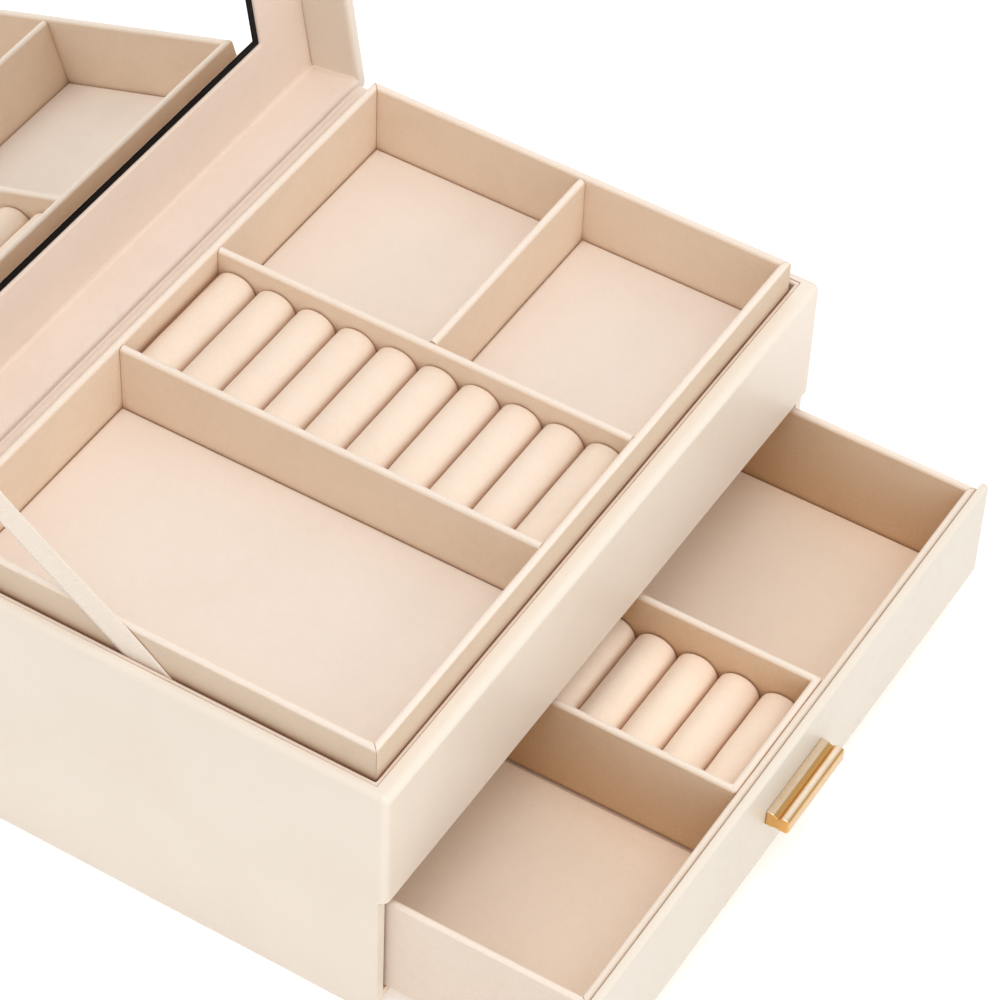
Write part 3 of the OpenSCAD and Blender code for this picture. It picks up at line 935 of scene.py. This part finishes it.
def sweep_profile(name, pts, xa, xb, mat, body, nodes, place=same, end_r=0.5, n=5, step=3.0):
    """An outline in y and z (a closed loop of points) swept along x, with
    rounded ends: the outline shrinks towards its middle near each end."""
    cy = sum(p[0] for p in pts) / len(pts)
    cz = sum(p[1] for p in pts) / len(pts)
    # outward normals of the loop
    nor = []
    m = len(pts)
    for i in range(m):
        a, b = pts[i - 1], pts[(i + 1) % m]
        t = (b[0] - a[0], b[1] - a[1])
        s = math.hypot(*t) or 1
        nor.append((t[1] / s, -t[0] / s))
    area = sum(pts[i][0] * pts[(i + 1) % m][1] - pts[(i + 1) % m][0] * pts[i][1] for i in range(m))
    if area < 0:
        nor = [(-a, -b) for a, b in nor]
    rows = []
    for k in range(n + 1):
        a = math.pi / 2 * k / n
        rows.append((xa + end_r - end_r * math.cos(a), end_r - end_r * math.sin(a)))
    q = max(1, int((xb - xa) / step))
    for k in range(1, q):
        rows.append((xa + end_r + (xb - xa - 2 * end_r) * k / q, 0.0))
    for k in range(n, -1, -1):
        a = math.pi / 2 * k / n
        rows.append((xb - end_r + end_r * math.cos(a), end_r - end_r * math.sin(a)))
    verts, faces = [], []
    for x, inset in rows:
        for (py, pz), (ny, nz) in zip(pts, nor):
            verts.append((x, py - ny * inset, pz - nz * inset))
    nr = len(rows)
    for i in range(nr - 1):
        for j in range(m):
            faces.append((i * m + j, i * m + (j + 1) % m, (i + 1) * m + (j + 1) % m, (i + 1) * m + j))
    faces.append(tuple(range(m)))
    faces.append(tuple((nr - 1) * m + j for j in reversed(range(m))))
    return build(name, verts, faces, mat, body, nodes, place)


def pull_outline():
    """Side view of the pull: a flange on the panel, a smooth hollow and a
    rounded lip; the underside is only slightly hollow. y runs outwards as
    negative."""

    def side(top, dip):
        half = [(0.0, top - 0.25), (-0.04, top - 0.12), (-0.14, top - 0.03), (-0.3, top)]
        half += [(-0.8, top + 0.01), (-1.4, top + 0.01), (-2.0, top)]
        for k in range(1, 16):               # hollow, with no edge at either side
            t = k / 16
            d = (0.5 - 0.5 * math.cos(2 * math.pi * t)) ** 0.8
            half.append((-2.0 - 3.0 * t, top - dip * d - 0.08 * t))
        half += [(-5.0, top - 0.08), (-5.6, top - 0.08), (-6.1, top - 0.11)]
        for k in range(1, 9):
            a = math.radians(90 + 90 * k / 9)
            half.append((-6.35 + 1.05 * math.cos(a), top - 1.2 + 1.07 * math.sin(a)))
        half.append((-7.4, top - 1.3))
        return half

    up = side(2.7, 0.95)
    low = side(2.7, 0.28)
    pts = up + [(-7.4, 0.5), (-7.4, -0.5)] + [(y, -z) for y, z in reversed(low)]
    return [(a - 79.65, b + 29.4) for a, b in pts]


pull = sweep_profile("drawer_pull", pull_outline(), -19.05, 13.25, M_GOLD, "drawer", ("handle",),
                     place=D, end_r=0.35)
pull.data.materials.append(M_GOLD_PAINTED_SHADE)
pull.data.materials.append(M_GOLD_FRONT)
for poly in pull.data.polygons:              # painted shade: darker gold in the hollow, on the ends and on the lip's upper front; darker again on faces looking straight out
    c = poly.center
    yy, nn = c.y * 1000 + OPEN - Y0, poly.normal
    if -84.35 < yy < -81.95 and c.z > 0.0300 or abs(nn.x) > 0.6:
        poly.material_index = 1
    if yy < -85.9 and nn.y < -0.35 and nn.z > 0.35:
        poly.material_index = 1
    if yy < -85.9 and nn.y < -0.85:
        poly.material_index = 2

# --------------------------------------------------------------------------
# lid: one wrapped leather shell, built closed and then opened

v, f = rounded_box((-116.8, 0.0, 0.3), (116.8, 157.0, 23.5), (2.4, 2.4, 1.8), (2.4, 2.4, 2.2), step=12.0, n=5)


def lid_wob(p, n):
    return 0.10 * fbm(p, 48.0, 81.0) + 0.03 * fbm(p, 18.0, 82.0)


carved("lid_shell", v, f, [((-111.9, 5.2, -4.0), (111.9, 151.8, 20.5))],
       1.3, M_LEATHER, "lid",
       ("lid_panel", "lid_wall_back", "lid_wall_front", "lid_wall_left", "lid_wall_right"),
       place=lid_place, wob=lid_wob)
shell = bpy.data.objects["lid_shell"]
shell.data.materials.append(M_LEATHER_SIDE_SHADE)
# painted shade: the inward faces of the lid's side walls take the darker leather copy
for poly in shell.data.polygons:
    c, nrm = poly.center, poly.normal
    if abs(nrm.x) > 0.95 and 0.108 < abs(c.x) < 0.1135 and nrm.x * c.x < 0:
        poly.material_index = 1


def flip_ring(x0, x1, u0, u1, tx, tu, w0, w1, ro, ri, face_o, face_i, step=6.0):
    """A ring in the lid whose seen face looks down at the tray when closed."""
    vv, ff = ring(x0, x1, u0, u1, tx, tx, tu, tu, -w1, -w0, ro, ri, face_o, face_i, 0.1, 0.1, step=step)
    return [(a, b, -c) for a, b, c in vv], ff


v, f = flip_ring(-111.85, 111.85, 5.22, 151.75, 21.95, 22.9, 17.0, 20.45, 0.3, 0.5, 0.35, 1.0)
o = build("mirror_frame", v, f, M_FRAME_VELVET, "lid",
          ("mirror_frame_back", "mirror_frame_front", "mirror_frame_left", "mirror_frame_right"),
          place=lid_place, wob=wobble(28.0, 0.08, 91.0))
v, f = flip_ring(-89.9, 89.9, 28.1, 128.9, 2.3, 2.3, 17.85, 20.0, 0.3, 0.1, 0.15, 0.15)
build("mirror_edge", v, f, M_BLACK, "lid", ("mirror_bezel",), place=lid_place)
v, f = rounded_box((-87.7, 30.3, 18.0), (87.7, 126.7, 20.0), (0.5, 0.5, 0.35), (0.5, 0.5, 0.2), step=20.0, n=3)
build("mirror", v, f, M_MIRROR, "lid", ("mirror_glass",), place=lid_place)

# --------------------------------------------------------------------------
# hinge: the velvet strip inside and the leather fold outside, both shaped for the open lid


def strip(name, top, thick, xa, xb, mat, nodes, step=5.0, seed=0.0, amp=0.05):
    """A thin covering along x. top lists the seen line as (y, z); the other
    side lies thick below it."""
    m = len(top)
    nor = []
    for i in range(m):
        a = top[max(i - 1, 0)]
        b = top[min(i + 1, m - 1)]
        t = (b[0] - a[0], b[1] - a[1])
        s = math.hypot(*t)
        nor.append((-t[1] / s, t[0] / s))
    q = int((xb - xa) / step)
    verts, faces = [], []
    for k in range(q + 1):
        x = xa + (xb - xa) * k / q
        for i in range(m):
            w = amp * fbm((x, i * 2.5, 0), 14.0, seed)
            verts.append((x, top[i][0] + nor[i][0] * w, top[i][1] + nor[i][1] * w))
        for i in range(m - 1, -1, -1):
            verts.append((x, top[i][0] - nor[i][0] * thick, top[i][1] - nor[i][1] * thick))
    c = 2 * m
    for k in range(q):
        for i in range(c):
            faces.append((k * c + i, k * c + (i + 1) % c, (k + 1) * c + (i + 1) % c, (k + 1) * c + i))
    for base, flip in ((0, False), (q * c, True)):
        for i in range(m - 1):
            quad = (base + i, base + i + 1, base + c - 2 - i, base + c - 1 - i)
            faces.append(quad[::-1] if flip else quad)
    o = build(name, verts, faces, mat, None, nodes)
    apply_modifiers(o)
    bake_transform(o)
    return o


def smooth_line(pts, per=4):
    """A smooth line through the points (Catmull-Rom)."""
    out = []
    n = len(pts)
    for i in range(n - 1):
        p0, p1, p2, p3 = pts[max(i - 1, 0)], pts[i], pts[i + 1], pts[min(i + 2, n - 1)]
        for k in range(per):
            t = k / per
            out.append(tuple(0.5 * ((2 * p1[q]) + (-p0[q] + p2[q]) * t
                                    + (2 * p0[q] - 5 * p1[q] + 4 * p2[q] - p3[q]) * t * t
                                    + (-p0[q] + 3 * p1[q] - 3 * p2[q] + p3[q]) * t ** 3) for q in (0, 1)))
    out.append(tuple(pts[-1]))
    return out


L = lid_yz
hinge_line = smooth_line([
    (75.28, 93.5), (75.3, 94.7), (75.55, 95.9), (76.2, 96.65), (77.0, 96.85), (77.6, 96.8), (78.2, 97.15),
    (78.7, 97.3), (78.93, 97.35), L(4.3, -0.15), L(4.9, 0.02), L(5.35, 0.45), L(5.6, 1.1), L(5.68, 2.2),
    L(5.66, 4.5), L(5.62, 8.0), L(5.58, 12.0), L(5.58, 15.2), L(5.75, 16.35), L(6.3, 16.86), L(7.3, 16.97)], 4)
strip("hinge_strip", hinge_line, 0.3, -111.7, 111.7, M_HINGE_VELVET, ("hinge_velvet",),
      seed=101.0)

outer = smooth_line([L(-0.55, 14.0), L(-0.55, 9.0), L(-0.55, 4.0), L(-0.6, 1.6),
                     (79.35, 92.55), (79.1, 91.2), (79.1, 88.0), (79.1, 83.5), (79.1, 79.6)], 4)
strip("hinge_cover", outer, 0.5, -113.7, 113.7, M_LEATHER, ("hinge_leather",),
      seed=102.0, amp=0.03)

# --------------------------------------------------------------------------
# stay ribbon

RIB = [(-13.5, 80.5), (2.0, 94.3), (15, 104.6), (28, 114.0), (44.5, 126.6), (62, 141.0), (79, 154.8), (96, 168.8)]
path = smooth_line(RIB, 10)
nac = 8
verts, faces = [], []
length = 0.0
for i, (y, z) in enumerate(path):
    a, b = path[max(i - 1, 0)], path[min(i + 1, len(path) - 1)]
    t = (b[0] - a[0], b[1] - a[1])
    s = math.hypot(*t)
    nrm = (-t[1] / s, t[0] / s)
    if i:
        length += math.hypot(y - path[i - 1][0], z - path[i - 1][1])
    k = i / (len(path) - 1)
    for j in range(nac + 1):
        c = (j / nac - 0.5) * 10.0
        curl = 0.06 * math.sin(k * 9.0 + 1.0) * (c / 5.0) + 0.03 * fbm((0, y * 1.5, z * 1.5), 9.0, 111.0)
        curl *= math.sin(math.pi * min(max(k, 0), 1)) ** 0.6
        verts.append((-111.59 + curl, y + nrm[0] * c, z + nrm[1] * c))
n = nac + 1
for i in range(len(path) - 1):
    for j in range(nac):
        faces.append((i * n + j, i * n + j + 1, (i + 1) * n + j + 1, (i + 1) * n + j))
rib = build("stay_ribbon", verts, faces, M_RIBBON, None, ("ribbon",), weighted=False)
sol = rib.modifiers.new("thick", "SOLIDIFY")
sol.thickness = 0.00028
sol.offset = 0
apply_modifiers(rib)
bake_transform(rib)

# --------------------------------------------------------------------------
# CAD nodes that stay, with their materials


def paint(mat, *names):
    for nme in names:
        o = NODES[nme]
        o.data.materials.clear()
        o.data.materials.append(mat)


paint(M_VELVET, "case_bottom", "case_shelf", "ledge_left", "ledge_right", "tray_bottom",
      "drawer_bottom", "insert_floor")
paint(M_BOARD, "mirror_backing")
paint(M_STEEL, "handle_screw_left", "handle_screw_right")

# --------------------------------------------------------------------------
# stage and light

bm = bmesh.new()
bmesh.ops.create_grid(bm, x_segments=8, y_segments=8, size=5.0)
mesh = bpy.data.meshes.new("floor")
bm.to_mesh(mesh)
bm.free()
floor = bpy.data.objects.new("floor", mesh)
floor.location = (0, 0, -0.0002)
bpy.context.scene.collection.objects.link(floor)
fm = bpy.data.materials.new("floor_pale")
fm.use_nodes = True
b = fm.node_tree.nodes["Principled BSDF"]
b.inputs["Base Color"].default_value = (0.93, 0.93, 0.93, 1)
b.inputs["Roughness"].default_value = 0.9
b.inputs["Specular IOR Level"].default_value = 0.1
b.inputs["Emission Color"].default_value = (1, 1, 1, 1)
b.inputs["Emission Strength"].default_value = 0.31
mesh.materials.append(fm)

world = bpy.data.worlds.new("world")
bpy.context.scene.world = world
world.use_nodes = True
bg = world.node_tree.nodes["Background"]
bg.inputs["Color"].default_value = (1.0, 0.995, 0.985, 1)
bg.inputs["Strength"].default_value = 0.62


def area(name, loc, target, size, power, color=(1, 1, 1)):
    d = bpy.data.lights.new(name, "AREA")
    d.shape = "RECTANGLE"
    d.size, d.size_y = size
    d.energy = power
    d.color = color
    o = bpy.data.objects.new(name, d)
    o.location = loc
    o.rotation_mode = "QUATERNION"
    o.rotation_quaternion = (Vector(target) - Vector(loc)).to_track_quat("-Z", "Y")
    bpy.context.scene.collection.objects.link(o)
    return o


area("key_top", (-0.35, -0.35, 1.65), (0, 0, 0.05), (1.4, 1.4), 13.8, (1.0, 0.99, 0.975))
area("fill_front", (-0.15, -1.7, 0.9), (0, 0, 0.05), (1.4, 0.9), 6.5, (1.0, 0.98, 0.955))
area("card_back", (1.0, 0.75, 1.25), (0, 0, 0.05), (1.3, 0.9), 3.2, (1.0, 0.99, 0.97))

bpy.context.scene.view_settings.view_transform = "Standard"
bpy.context.scene.view_settings.look = "None"
